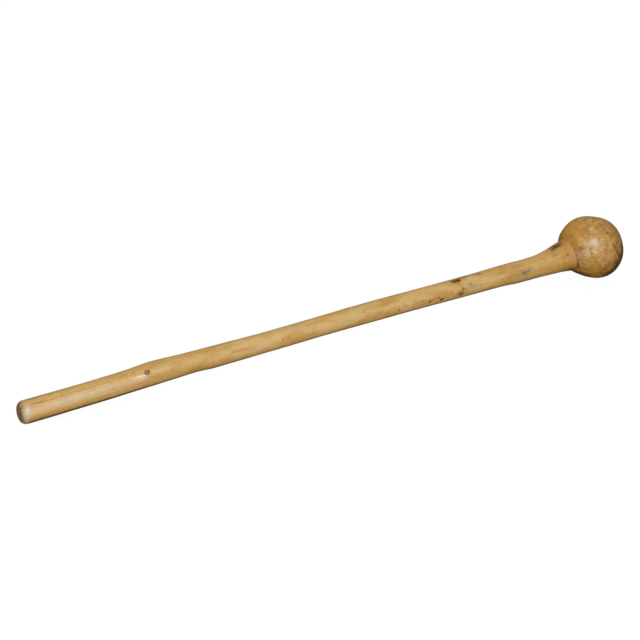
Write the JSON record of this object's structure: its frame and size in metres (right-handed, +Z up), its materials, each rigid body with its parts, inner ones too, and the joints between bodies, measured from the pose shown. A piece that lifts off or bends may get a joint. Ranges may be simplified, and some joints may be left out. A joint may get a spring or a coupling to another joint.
{
  "type": "ball-headed wooden stick",
  "caption": "Natural branch with a slight crook and a swelling neck that carries a carved wooden ball head, for muddling, pounding or as a knob stick.",
  "frame": {"origin": "on the level surface that the stick lies on, under the middle of its overall length", "axes": "+X from the sawn butt to the ball head, +Y sideways, +Z up"},
  "size_m": [0.647, 0.0668, 0.0635],
  "materials": {
    "shaft_wood": "satin, straight-grained tan wood worn smooth by hands",
    "ball_wood": "satin, mottled brown burl",
    "knot_wood": "matte, dark dead-branch wood with a bark ring"
  },
  "bodies": {
    "root": {"shaft": "shaft_wood", "ball_head": "ball_wood", "knot_stub": "knot_wood"}
  },
  "joints": []
}
